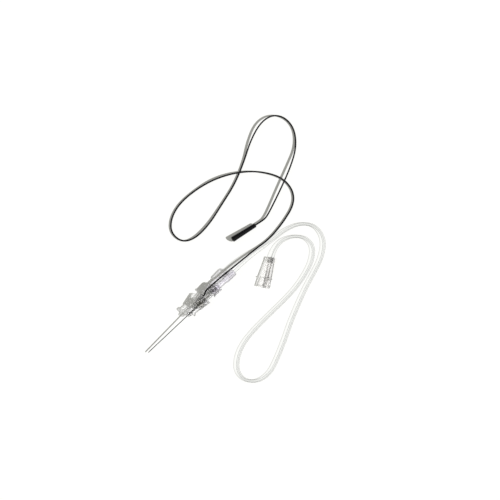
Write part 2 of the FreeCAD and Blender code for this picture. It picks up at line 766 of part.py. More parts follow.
def plug_placement():
    """The plug lies along its tapering side."""
    drop = size("plug_open_rad") - size("plug_wire_rad")
    dip = math.asin(drop / (size("plug_length") - 2 * size("plug_lip")))
    height = size("plug_open_rad") / math.cos(dip) + size("plug_lip") * math.tan(dip)
    turn = FreeCAD.Rotation(Vector(0, 0, 1), PLUG_HEADING).multiply(
        FreeCAD.Rotation(Vector(0, 1, 0), math.degrees(dip)))
    return FreeCAD.Placement(Vector(PLUG_OPEN_END[0], PLUG_OPEN_END[1], height), turn)


def make_plug_body():
    """Black insulating sleeve of the plug, tapering towards the lead."""
    lip = "Sizes.plug_lip"
    outer = "Sizes.socket_rad + Sizes.socket_wall"
    lead_stop = "Sizes.plug_length - Sizes.lead_in_plug"
    body = turned_body("PlugSleeve", "plug_body", [
        ("0", outer),
        ("0", "Sizes.plug_open_rad - " + lip),
        (lip, "Sizes.plug_open_rad"),
        ("Sizes.plug_length - " + lip, "Sizes.plug_wire_rad"),
        ("Sizes.plug_length", "Sizes.plug_wire_rad - " + lip),
        ("Sizes.plug_length", "Sizes.lead_dia / 2 + Sizes.plug_fit"),
        (lead_stop, "Sizes.lead_dia / 2 + Sizes.plug_fit"),
        (lead_stop, "Sizes.crimp_rad"),
        ("Sizes.socket_inset + Sizes.socket_length", "Sizes.crimp_rad"),
        ("Sizes.socket_inset + Sizes.socket_length", outer),
    ])
    body.Placement = PLUG_LYING
    return body


def make_plug_contact():
    """Slotted metal socket of the plug, crimped on the lead's strand."""
    outer = "Sizes.socket_rad + Sizes.socket_wall"
    socket_end = "Sizes.socket_inset + Sizes.socket_length"
    socket_floor = socket_end + " - Sizes.socket_wall"
    lead_stop = "Sizes.plug_length - Sizes.lead_in_plug"
    body = turned_body("PlugSocket", "plug_contact", [
        ("Sizes.socket_inset", "Sizes.socket_rad"),
        ("Sizes.socket_inset", outer),
        (socket_end, outer),
        (socket_end, "Sizes.crimp_rad"),
        (lead_stop, "Sizes.crimp_rad"),
        (lead_stop, "Sizes.strand_dia / 2"),
        (socket_floor, "Sizes.strand_dia / 2"),
        (socket_floor, "Sizes.socket_rad"),
    ])
    cut_socket_slits(body)
    body.Placement = PLUG_LYING
    return body


def cut_socket_slits(body):
    """Two slits crossing at right angles, which let the socket spring open."""
    sketch = body.newObject("Sketcher::SketchObject", "SlitSketch")
    sketch.AttachmentSupport = [(origin_plane(body, "XZ_Plane"), "")]
    sketch.MapMode = "FlatFace"
    half = "Sizes.socket_slit / 2"
    far = "Sizes.socket_inset + Sizes.slit_length"
    rectangle(sketch, [("0", "-" + half), (far, "-" + half), (far, half), ("0", half)])
    before = body.Shape.Volume
    slit = body.newObject("PartDesign::Pocket", "Slit")
    slit.Profile = sketch
    slit.Type = 1
    slit.Midplane = True
    doc.recompute()
    crossed = body.newObject("PartDesign::PolarPattern", "SlitCross")
    crossed.Originals = [slit]
    crossed.Axis = (sketch, ["H_Axis"])
    crossed.Angle = 180
    crossed.Occurrences = 2
    body.Tip = crossed
    doc.recompute()
    if body.Shape.Volume >= before:
        raise ValueError("the slits cut nothing")


def make_crimped_strand():
    """End of the lead's strand, crimped in the plug's contact."""
    start = "Sizes.socket_inset + Sizes.socket_length - Sizes.socket_wall"
    strand = rod_along_x("CrimpedStrand", "Sizes.strand_dia / 2",
                         "Sizes.plug_length - Sizes.lead_in_plug - (" + start + ")")
    strand.Label = "crimped_strand"
    begin = size("socket_inset") + size("socket_length") - size("socket_wall")
    along_x = FreeCAD.Rotation(Vector(0, 1, 0), 90)
    inside = FreeCAD.Placement(Vector(begin, 0, 0), along_x)
    strand.Placement = PLUG_LYING.multiply(inside)
    return strand


def rounded_route(points, diameter, name):
    """A wire of straight runs joined by arcs that touch both runs."""
    points = [Vector(*point) for point in points]
    edges = []
    start = points[0]
    smallest = None
    for before, corner, after in zip(points, points[1:], points[2:]):
        into = corner - before
        away = after - corner
        half_turn = into.getAngle(away) / 2
        reach = ARC_SHARE * min(into.Length, away.Length)
        radius = reach / math.tan(half_turn)
        smallest = radius if smallest is None else min(smallest, radius)
        into.normalize()
        away.normalize()
        arc_start = corner - into * reach
        arc_end = corner + away * reach
        bisector = (away - into).normalize()
        centre = corner + bisector * (radius / math.cos(half_turn))
        middle = centre - bisector * radius
        edges.append(Part.LineSegment(start, arc_start).toShape())
        edges.append(Part.Arc(arc_start, middle, arc_end).toShape())
        start = arc_end
    edges.append(Part.LineSegment(start, points[-1]).toShape())
    route = Part.Wire(edges)
    print(name, "length", round(route.Length, 1), "smallest radius", round(smallest, 2),
          "in diameters", round(smallest / diameter, 1))
    return route


def swept_rod(route, points, radius):
    """A round rod along a route, checked against its section times its length."""
    start = Vector(*points[0])
    heading = Vector(*points[1]) - start
    section = Part.Wire(Part.makeCircle(radius, start, heading))
    rod = route.makePipeShell([section], True, False)
    wanted = math.pi * radius ** 2 * route.Length
    if abs(rod.Volume - wanted) > VOLUME_SLACK * wanted:
        raise ValueError("the sweep's volume is wrong")
    return rod


def lead_points():
    """The lead's route: from the hollow barrel past the collar, round its loops, to the plug."""
    inside = PLUG_LYING.multVec(Vector(size("plug_length") - size("lead_in_plug"), 0, 0))
    outside = PLUG_LYING.multVec(Vector(size("plug_length") + size("straight_exit"), 0, 0))
    beside = size("lead_past_rad")
    return [
        tuple(side_point(station("lead_end"), size("lead_side_rad"))),
        tuple(side_point(station("barrel_rear") + size("lead_past_rim"), size("lead_side_rad"))),
        tuple(side_point(station("disc_front") - size("lead_past_rim"), beside)),
        tuple(side_point(station("collar_rear") + size("lead_past_rim"), beside)),
    ] + LEAD_ROUTE + [tuple(outside), tuple(inside)]


def make_lead():
    """Insulated lead from the hub to the plug."""
    points = lead_points()
    route = rounded_route(points, size("lead_dia"), "lead")
    lead = doc.addObject("Part::Feature", "LeadWire")
    lead.Label = "lead_wire"
    lead.Shape = swept_rod(route, points, size("lead_dia") / 2)
    return lead


def tube_points():
    """The line's route: out of the grip, round its loops, into the injection port."""
    inside = PORT_LYING.multVec(Vector(size("port_socket"), 0, 0))
    outside = PORT_LYING.multVec(Vector(-size("tube_exit"), 0, 0))
    start = LYING.multVec(Vector(station("grip_socket_end"), 0, 0))
    leaving = LYING.multVec(Vector(station("grip_rear") + size("straight_exit"), 0, 0))
    return [tuple(start), tuple(leaving)] + TUBE_ROUTE + [tuple(outside), tuple(inside)]


def make_tube():
    """Clear injection line."""
    points = tube_points()
    route = rounded_route(points, size("tube_dia"), "line")
    outside = swept_rod(route, points, size("tube_dia") / 2)
    inside = swept_rod(route, points, size("tube_bore") / 2)
    tube = doc.addObject("Part::Feature", "ExtensionTube")
    tube.Label = "extension_tube"
    tube.Shape = outside.cut(inside)
    return tube


PLUG_LYING = plug_placement()
PORT_LYING = port_placement()


def main():
    """Builds every piece, checks it and writes it."""
    lead = make_lead()
    to_needle = LYING.inverse()
    lead_by_needle = lead.Shape.copy()
    lead_by_needle.Placement = to_needle.multiply(lead_by_needle.Placement)
    winding = make_winding(lead_by_needle)
    winding_shape = winding.Shape.copy()
    winding_shape.Placement = to_needle.multiply(winding_shape.Placement)
    parts = [
        make_cannula(),
        make_coating(),
        make_hub(),
        make_cannula_seal(),
        winding,
        make_solder(winding_shape),
        make_lead_sealant(lead_by_needle, winding_shape),
        make_spigot(),
        make_collar(),
        make_tube(),
        make_port(),
        lead,
        make_plug_body(),
        make_plug_contact(),
        make_crimped_strand(),
    ]
    doc.recompute()
    for item in doc.Objects:
        if "Invalid" in item.State or "Error" in item.State:
            raise ValueError(item.Name + " isn't up to date")
    for part in parts:
        if part.Shape.isNull() or not part.Shape.isValid():
            raise ValueError(part.Label + " has no valid shape")
        if len(part.Shape.Solids) != 1:
            raise ValueError(part.Label + " isn't one solid")
    os.makedirs("parts", exist_ok=True)
    for part in parts:
        part.Shape.exportStep("parts/" + part.Label + ".step")
        box = part.Shape.BoundBox
        print(part.Label, round(part.Shape.Volume, 2),
              [round(v, 2) for v in (box.XMin, box.XMax, box.YMin, box.YMax, box.ZMin, box.ZMax)])


main()
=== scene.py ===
"""Looks of a nerve stimulation needle with its injection line and its electric lead.

Metres, +Z up, the same frame as the solids. The needle points along -X and lies on z = 0.
"""
import math

import bpy
import numpy as np
from bpy.props import FloatProperty, FloatVectorProperty, IntProperty, PointerProperty
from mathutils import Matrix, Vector


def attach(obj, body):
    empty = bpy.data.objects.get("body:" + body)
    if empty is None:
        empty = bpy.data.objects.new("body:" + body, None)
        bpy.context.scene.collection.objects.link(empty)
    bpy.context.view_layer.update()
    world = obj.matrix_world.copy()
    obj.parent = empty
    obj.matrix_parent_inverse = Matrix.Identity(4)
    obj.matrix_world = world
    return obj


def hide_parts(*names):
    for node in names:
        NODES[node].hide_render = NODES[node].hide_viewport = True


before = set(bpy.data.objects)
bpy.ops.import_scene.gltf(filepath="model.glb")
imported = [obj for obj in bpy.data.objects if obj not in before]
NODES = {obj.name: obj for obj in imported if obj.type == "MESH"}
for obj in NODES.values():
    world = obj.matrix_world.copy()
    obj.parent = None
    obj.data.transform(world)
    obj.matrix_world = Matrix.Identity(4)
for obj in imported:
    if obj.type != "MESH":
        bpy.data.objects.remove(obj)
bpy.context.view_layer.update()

bl_info = {
    "name": "Nerve stimulation needle",
    "version": (1, 0, 0),
    "blender": (4, 5, 0),
    "location": "3D View > Sidebar > Needle",
    "description": "Lays the needle's lead and injection line and gives every piece its finish",
    "category": "Object",
}

# Route of the lead: from inside the hollow barrel, past the collar, round both loops, to the plug
LEAD_ROUTE = [
    (0.0115, 0.0030, 0.0039), (0.0196, 0.0030, 0.0043), (0.0238, 0.0056, 0.0032),
    (0.0285, 0.0056, 0.0034), (0.0365, 0.0055, 0.0038), (0.0480, 0.0049, 0.0034),
    (0.0605, 0.0040, 0.0038), (0.0735, 0.0032, 0.0030), (0.0865, 0.0026, 0.0012),
    (0.1015, 0.0008, 0.0008), (0.1217, 0.0033, 0.0008), (0.1414, 0.0088, 0.0008),
    (0.1503, 0.0199, 0.0008), (0.1507, 0.0356, 0.0009), (0.1407, 0.0522, 0.0028),
    (0.1261, 0.0656, 0.0035), (0.1065, 0.0765, 0.0029), (0.0855, 0.0824, 0.0009),
    (0.0640, 0.0836, 0.0008), (0.0482, 0.0787, 0.0008), (0.0385, 0.0690, 0.0008),
    (0.0397, 0.0553, 0.0009), (0.0509, 0.0488, 0.0018), (0.0701, 0.0497, 0.0015),
    (0.0927, 0.0557, 0.0008), (0.1142, 0.0613, 0.0008), (0.1352, 0.0710, 0.0008),
    (0.1526, 0.0808, 0.0022), (0.1710, 0.0870, 0.0038), (0.1851, 0.0852, 0.0030),
    (0.1925, 0.0751, 0.0012), (0.1912, 0.0608, 0.0008), (0.1804, 0.0470, 0.0014),
    (0.1637, 0.0370, 0.0034), (0.1435, 0.0284, 0.0036), (0.1234, 0.0208, 0.0026),
    (0.1135, 0.0176, 0.0022), (0.1081, 0.0179, 0.0018), (0.0954, 0.0203, 0.0021),
]

# Route of the injection line: out of the connector's grip, round its loops, into the port
LINE_ROUTE = [
    (0.0479, 0.0000, 0.0072), (0.0623, 0.0000, 0.0079), (0.0785, 0.0000, 0.0056),
    (0.0920, -0.0012, 0.0031), (0.1050, -0.0024, 0.0017), (0.1198, -0.0036, 0.0015),
    (0.1342, -0.0091, 0.0015), (0.1426, -0.0208, 0.0015), (0.1392, -0.0359, 0.0015),
    (0.1257, -0.0464, 0.0015), (0.1112, -0.0517, 0.0015), (0.0953, -0.0569, 0.0015),
    (0.0782, -0.0640, 0.0015), (0.0621, -0.0712, 0.0015), (0.0455, -0.0800, 0.0015),
    (0.0305, -0.0870, 0.0015), (0.0160, -0.0928, 0.0015), (0.0019, -0.0916, 0.0015),
    (-0.0074, -0.0824, 0.0015), (-0.0069, -0.0703, 0.0015), (0.0030, -0.0607, 0.0015),
    (0.0167, -0.0549, 0.0015), (0.0335, -0.0528, 0.0015), (0.0510, -0.0522, 0.0015),
    (0.0690, -0.0519, 0.0015), (0.0856, -0.0511, 0.0015), (0.1011, -0.0481, 0.0015),
    (0.1162, -0.0428, 0.0015), (0.1271, -0.0338, 0.0015), (0.1280, -0.0216, 0.0016),
    (0.1189, -0.0119, 0.0016), (0.1075, -0.0082, 0.0017), (0.0955, -0.0114, 0.0022),
    (0.0873, -0.0172, 0.0029),
]

# Steps of a route's curve from one control point to the next
CURVE_STEPS = 10

# Bevel resolution of the lead, which gives it 4 + 2 * 6 sides
LEAD_BEVEL = 6

# The noise textures stay mostly between these two values
NOISE_LOW, NOISE_HIGH = 0.3, 0.7

# How a noise is drawn out along the object's axes
EVEN = (1.0, 1.0, 1.0)
ALONG = (0.02, 1.0, 1.0)
SLIGHTLY_ALONG = (0.1, 1.0, 1.0)
FLOWING = (0.4, 1.0, 1.0)

# Clear plastic: refraction, its unevenness, and the Layer Weight values at which it counts as
# seen face on and as seen edge on
CLEAR_IOR = 1.49
CLEAR_SCALE = 180.0
CLEAR_GRAIN = 0.12
CLEAR_BUMP = 0.0001
FACE_ON, EDGE_ON = 0.35, 0.95

# Metal and black plastic: shares of the colour and of the roughness at the noise's two ends,
# the noise's detail and the height of the bumps in metres
METAL_SHADES = (0.8, 1.2)
METAL_ROUGHNESS = (0.75, 1.25)
METAL_DETAIL = 5.0
METAL_BUMP = 0.00002
BLACK_SHADES = (0.7, 1.6)
BLACK_ROUGHNESS = (0.8, 1.3)
BLACK_DETAIL = 6.0
BLACK_BUMP = 0.00003
BLACK_IOR = 1.5

WHITE = (1.0, 1.0, 1.0)

# Half the width of the surface that the object lies on, in metres
FLOOR_HALF = 3.0

# Width of the camera's sensor, in millimetres
SENSOR_WIDTH = 36.0


class NeedleSizes(bpy.types.PropertyGroup):
    """Sizes of the two cords."""

    lead_diameter: FloatProperty(
        name="Lead diameter", description="Outside of the lead's black jacket",
        default=0.0015, min=0.0005, unit="LENGTH")
    lead_length: FloatProperty(
        name="Lead length", description="From inside the hub to the plug",
        default=0.593, min=0.1, unit="LENGTH")
    line_diameter: FloatProperty(
        name="Line diameter", description="Outside of the injection line",
        default=0.0028, min=0.001, unit="LENGTH")
    line_bore: FloatProperty(
        name="Line bore", description="Inside of the injection line",
        default=0.0012, min=0.0004, unit="LENGTH")
    line_length: FloatProperty(
        name="Line length", description="From inside the connector to the port",
        default=0.488, min=0.1, unit="LENGTH")
    # Share of the painted edge shade that the bore's edges get against the outer wall's
    bore_painted_shade_share: FloatProperty(
        name="Bore share", description="How dark the bore's edge is against the outside's",
        default=0.1, min=0.0, max=1.0)
    line_sides: IntProperty(
        name="Line sides", description="Faces round the line's wall", default=24, min=8)


class NeedleFinishes(bpy.types.PropertyGroup):
    """Colours of the object's materials, with the painted edge greys of its clear plastics."""

    hub_tint: FloatVectorProperty(
        name="Hub tint", description="Clear plastic of the hub", subtype="COLOR",
        default=(0.975, 0.974, 0.976), min=0.0, max=1.0)
    connector_tint: FloatVectorProperty(
        name="Connector tint", description="Clear plastic of the tube connector and collar",
        subtype="COLOR", default=(0.955, 0.945, 0.97), min=0.0, max=1.0)
    port_tint: FloatVectorProperty(
        name="Port tint", description="Clear plastic of the injection port", subtype="COLOR",
        default=(0.99, 0.985, 0.982), min=0.0, max=1.0)
    line_tint: FloatVectorProperty(
        name="Line tint", description="Soft clear plastic of the injection line",
        subtype="COLOR", default=(0.99, 0.992, 0.99), min=0.0, max=1.0)
    # Painted shade: grey set on clear plastic's edges, standing in for the dark surroundings it
    # would show there
    painted_edge_shade: FloatVectorProperty(
        name="Edge shade", description="Grey that clear plastic shows along its edges",
        subtype="COLOR", default=(0.05, 0.05, 0.055), min=0.0, max=1.0)
    steel: FloatVectorProperty(
        name="Steel", description="Ground steel of the cannula", subtype="COLOR",
        default=(0.34, 0.34, 0.35), min=0.0, max=1.0)
    jacket: FloatVectorProperty(
        name="Lead jacket", description="Black jacket of the lead", subtype="COLOR",
        default=(0.004, 0.004, 0.005), min=0.0, max=1.0)
    plug: FloatVectorProperty(
        name="Plug", description="Black moulding of the plug", subtype="COLOR",
        default=(0.003, 0.003, 0.004), min=0.0, max=1.0)
    coat: FloatVectorProperty(
        name="Coat", description="Thin insulating coat on the cannula", subtype="COLOR",
        default=(0.75, 0.76, 0.78), min=0.0, max=1.0)
    # Painted shade: grey set on the coat's edges, standing in for the dark surroundings seen in
    # them
    painted_coat_edge: FloatVectorProperty(
        name="Coat edge", description="Grey that the coat shows along its edges",
        subtype="COLOR", default=(0.2, 0.2, 0.21), min=0.0, max=1.0)
    solder: FloatVectorProperty(
        name="Solder", description="Solder that fixes the winding", subtype="COLOR",
        default=(0.6, 0.6, 0.61), min=0.0, max=1.0)
    contact: FloatVectorProperty(
        name="Contact", description="Plated metal of the plug's socket", subtype="COLOR",
        default=(0.62, 0.5, 0.28), min=0.0, max=1.0)
    strand: FloatVectorProperty(
        name="Strand", description="Bared strand wound round the cannula", subtype="COLOR",
        default=(0.012, 0.011, 0.010), min=0.0, max=1.0)
    glue: FloatVectorProperty(
        name="Glue", description="Cured adhesive and sealant", subtype="COLOR",
        default=(0.96, 0.955, 0.93), min=0.0, max=1.0)
    # Painted shade: darker tone set on the glue's edges, standing in for the dark surroundings
    # seen in them
    painted_glue_edge: FloatVectorProperty(
        name="Glue edge", description="Darker tone that the glue shows along its edges",
        subtype="COLOR", default=(0.5, 0.49, 0.45), min=0.0, max=1.0)


class NeedleStage(bpy.types.PropertyGroup):
    """Camera and light."""

    elevation: FloatProperty(
        name="Camera elevation", description="Height of the view over the surface",
        default=math.radians(80.0), subtype="ANGLE")
    heading: FloatProperty(
        name="Camera heading", description="Turn of the picture's right against the needle",
        default=math.radians(43.4), subtype="ANGLE")
    distance: FloatProperty(
        name="Camera distance", description="From the camera to the object",
        default=8.0, unit="LENGTH")
    width: FloatProperty(
        name="Picture width", description="Width of surface that the picture takes in",
        default=0.47025, unit="LENGTH")
    target: FloatVectorProperty(
        name="Picture centre", description="Point of the surface in the picture's middle",
        default=(0.08132, 0.00571, 0.0), subtype="TRANSLATION", unit="LENGTH")
    lamp_elevation: FloatProperty(
        name="Lamp elevation", description="Height of the lamp over the surface",
        default=math.radians(38.0), subtype="ANGLE")
    lamp_side: FloatProperty(
        name="Lamp side", description="Turn of the lamp below the picture's right",
        default=math.radians(12.0), subtype="ANGLE")
    lamp_angle: FloatProperty(
        name="Lamp angle", description="How wide the lamp seems, which softens the shadow",
        default=math.radians(0.6), subtype="ANGLE")
    lamp_strength: FloatProperty(
        name="Lamp strength", description="Strength of the lamp", default=4.1, min=0.0)
    sky_strength: FloatProperty(
        name="Sky strength", description="Even light from all round", default=0.22, min=0.0)
    sky_colour: FloatVectorProperty(
        name="Sky colour", description="Colour of the even light, which fills the shadows",
        subtype="COLOR", default=(1.0, 1.0, 0.86), min=0.0, max=1.0)
    floor_shade: FloatProperty(
        name="Floor shade", description="How pale the surface is", default=0.86, min=0.0, max=1.0)
    floor_lift: FloatProperty(
        name="Floor lift", description="What the camera's view adds to make the surface white",
        default=0.16, min=0.0, max=1.0)


def finish_sheet(name):
    """A new material with an empty node tree and its output."""
    material = bpy.data.materials.new(name)
    material.use_nodes = True
    tree = material.node_tree
    tree.nodes.clear()
    return material, tree, tree.nodes.new("ShaderNodeOutputMaterial")


def add_node(tree, kind, **settings):
    """A node of one kind, with its settings and its socket values."""
    node = tree.nodes.new("ShaderNode" + kind)
    sockets = settings.pop("sockets", {})
    for key, value in settings.items():
        setattr(node, key, value)
    for key, value in sockets.items():
        node.inputs[key].default_value = value
    return node


def rgba(colour):
    """A colour with full alpha."""
    return (colour[0], colour[1], colour[2], 1.0)


def streaks(tree, scale, stretch, detail=3.0):
    """Noise on the object's own coordinates, drawn out by stretch."""
    place = add_node(tree, "TexCoord")
    mapping = add_node(tree, "Mapping", sockets={"Scale": stretch})
    noise = add_node(tree, "TexNoise", sockets={"Scale": scale, "Detail": detail})
    tree.links.new(place.outputs["Object"], mapping.inputs["Vector"])
    tree.links.new(mapping.outputs["Vector"], noise.inputs["Vector"])
    return noise.outputs["Fac"]


def between(tree, source, low, high, low_to, high_to):
    """A number taken from one range to another and kept inside it."""
    node = add_node(tree, "MapRange", clamp=True, sockets={
        "From Min": low, "From Max": high, "To Min": low_to, "To Max": high_to})
    tree.links.new(source, node.inputs["Value"])
    return node.outputs["Result"]


def bumpy(tree, source, strength, distance):
    """Bump from a height."""
    node = add_node(tree, "Bump", sockets={"Strength": strength, "Distance": distance})
    tree.links.new(source, node.inputs["Height"])
    return node.outputs["Normal"]


def blend(tree, source, first, second):
    """A colour that goes from the first to the second as source goes from 0 to 1."""
    node = add_node(tree, "Mix", data_type="RGBA", sockets={"A": rgba(first), "B": rgba(second)})
    tree.links.new(source, node.inputs["Factor"])
    return node.outputs["Result"]


def clear_plastic(name, tint, edge, sharpness, straight, bent_edge=1.0, uneven=0.25,
                  roughness=0.05, share=None):
    """Clear plastic, which bends what is behind it and has painted shade along its edges.

    Seen face on it has the colour tint. Seen edge on it has the colour edge, a painted grey that
    stands in for the dark surroundings real clear plastic shows there. Light passing through
    takes the same colour, so the grey also darkens the outline of the plastic's shadow. A higher
    sharpness makes the painted dark edge thinner. straight is the share of light that goes
    through unbent face on, and bent_edge the share that is bent edge on. uneven is how far the
    painted darkening strays to both sides. share names a point attribute that the painted
    darkening is multiplied by.
    """
    material, tree, output = finish_sheet(name)
    noise = streaks(tree, CLEAR_SCALE, FLOWING)
    weight = add_node(tree, "LayerWeight", sockets={"Blend": 0.5})
    power = add_node(tree, "Math", operation="POWER")
    power.inputs[1].default_value = sharpness
    tree.links.new(weight.outputs["Facing"], power.inputs[0])
    cloud = between(tree, noise, NOISE_LOW, NOISE_HIGH, 1.0 - uneven, 1.0 + uneven)
    # How much painted edge shade each point gets, more as the surface turns edge on
    painted_rim = add_node(tree, "Math", operation="MULTIPLY", use_clamp=True)
    tree.links.new(power.outputs["Value"], painted_rim.inputs[0])
    tree.links.new(cloud, painted_rim.inputs[1])
    if share:
        part = add_node(tree, "Attribute", attribute_name=share)
        whole = painted_rim
        painted_rim = add_node(tree, "Math", operation="MULTIPLY")
        tree.links.new(whole.outputs["Value"], painted_rim.inputs[0])
        tree.links.new(part.outputs["Fac"], painted_rim.inputs[1])
    # Painted shade: the colour goes from the tint to the painted edge grey, for the camera and
    # for the light that passes
    shade = blend(tree, painted_rim.outputs["Value"], tint, edge)
    bent = add_node(tree, "BsdfPrincipled", sockets={
        "Roughness": roughness, "IOR": CLEAR_IOR, "Transmission Weight": 1.0})
    tree.links.new(shade, bent.inputs["Base Color"])
    tree.links.new(bumpy(tree, noise, CLEAR_GRAIN, CLEAR_BUMP), bent.inputs["Normal"])
    through = add_node(tree, "BsdfTransparent")
    tree.links.new(shade, through.inputs["Color"])
    clear = add_node(tree, "MixShader")
    unbent = between(tree, weight.outputs["Facing"], FACE_ON, EDGE_ON, straight, 1.0 - bent_edge)
    tree.links.new(unbent, clear.inputs["Fac"])
    tree.links.new(bent.outputs["BSDF"], clear.inputs[1])
    tree.links.new(through.outputs["BSDF"], clear.inputs[2])
    tree.links.new(clear.outputs["Shader"], output.inputs["Surface"])
    return material


def grained(name, noise_settings, colour, shades, roughnesses, grain, bump, sockets):
    """A material whose colour, roughness and bump all follow one noise.

    shades are the shares of the colour at the noise's two ends, and roughnesses the values
    there. sockets holds what is the same all over.
    """
    material, tree, output = finish_sheet(name)
    noise = streaks(tree, *noise_settings)
    body = add_node(tree, "BsdfPrincipled", sockets=sockets)
    dark, pale = [[min(1.0, c * share) for c in colour] for share in shades]
    tree.links.new(blend(tree, noise, dark, pale), body.inputs["Base Color"])
    rough = between(tree, noise, NOISE_LOW, NOISE_HIGH, *roughnesses)
    tree.links.new(rough, body.inputs["Roughness"])
    tree.links.new(bumpy(tree, noise, grain, bump), body.inputs["Normal"])
    tree.links.new(body.outputs["BSDF"], output.inputs["Surface"])
    return material


def metal(name, colour, roughness, stretch, scale=900.0, grain=0.12):
    """Metal with fine lines drawn along it."""
    roughnesses = [roughness * share for share in METAL_ROUGHNESS]
    return grained(name, (scale, stretch, METAL_DETAIL), colour, METAL_SHADES, roughnesses,
                   grain, METAL_BUMP, {"Metallic": 1.0})


def black_plastic(name, colour, roughness, scale, grain, gloss):
    """Black plastic with a faint uneven gloss and fine moulded grain."""
    roughnesses = [roughness * share for share in BLACK_ROUGHNESS]
    return grained(name, (scale, EVEN, BLACK_DETAIL), colour, BLACK_SHADES, roughnesses,
                   grain, BLACK_BUMP, {"IOR": BLACK_IOR, "Specular IOR Level": gloss})


def dress(node, material):
    """Gives a solid's object one material in every slot."""
    for slot in NODES[node].material_slots:
        slot.material = material


def spline_curve(name, route):
    """A curve of one open spline, which cuts the corners between its control points."""
    curve = bpy.data.curves.new(name, "CURVE")
    curve.dimensions = "3D"
    spline = curve.splines.new("NURBS")
    spline.points.add(len(route) - 1)
    for point, place in zip(spline.points, route):
        point.co = (*place, 1.0)
    spline.order_u = 3
    spline.use_endpoint_u = True
    spline.resolution_u = CURVE_STEPS
    return curve


def spline_path(name, route):
    """Points along a route's spline, as Blender works them out."""
    curve = spline_curve(name + "_guide", route)
    guide = bpy.data.objects.new(name + "_guide", curve)
    bpy.context.scene.collection.objects.link(guide)
    bpy.context.view_layer.update()
    mesh = bpy.data.meshes.new_from_object(guide)
    points = np.empty(len(mesh.vertices) * 3)
    mesh.vertices.foreach_get("co", points)
    bpy.data.objects.remove(guide)
    bpy.data.curves.remove(curve)
    bpy.data.meshes.remove(mesh)
    return points.reshape(-1, 3)


def sweep(path, radius, sides):
    """Rings along a path: place(i, v) = path(i) + radius * (side cos v + up sin v).

    side is level and at right angles to the path, and up is at right angles to both.
    Returns the points of a grid, one row a ring.
    """
    along = np.gradient(path, axis=0)
    along /= np.linalg.norm(along, axis=1, keepdims=True)
    side = np.cross((0.0, 0.0, 1.0), along)
    side /= np.linalg.norm(side, axis=1, keepdims=True)
    up = np.cross(along, side)
    turn = np.linspace(0.0, 2.0 * np.pi, sides, endpoint=False)[None, :, None]
    ring = side[:, None, :] * np.cos(turn) + up[:, None, :] * np.sin(turn)
    return path[:, None, :] + ring * radius


def grid_faces(rows, sides):
    """Quads of a grid that closes on itself both ways, along its rows and across them."""
    row = np.arange(rows)[:, None]
    column = np.arange(sides)[None, :]
    next_row = (row + 1) % rows
    next_column = (column + 1) % sides
    corners = [row * sides + column, row * sides + next_column,
               next_row * sides + next_column, next_row * sides + column]
    return np.stack([corner.ravel() for corner in corners], axis=1)


def mesh_piece(name, points, faces, material):
    """A smooth mesh object from arrays of points and faces."""
    mesh = bpy.data.meshes.new(name)
    mesh.from_pydata(points.reshape(-1, 3).tolist(), [], faces.tolist())
    mesh.update()
    mesh.polygons.foreach_set("use_smooth", np.ones(len(mesh.polygons), bool))
    mesh.materials.append(material)
    piece = bpy.data.objects.new(name, mesh)
    bpy.context.scene.collection.objects.link(piece)
    return piece


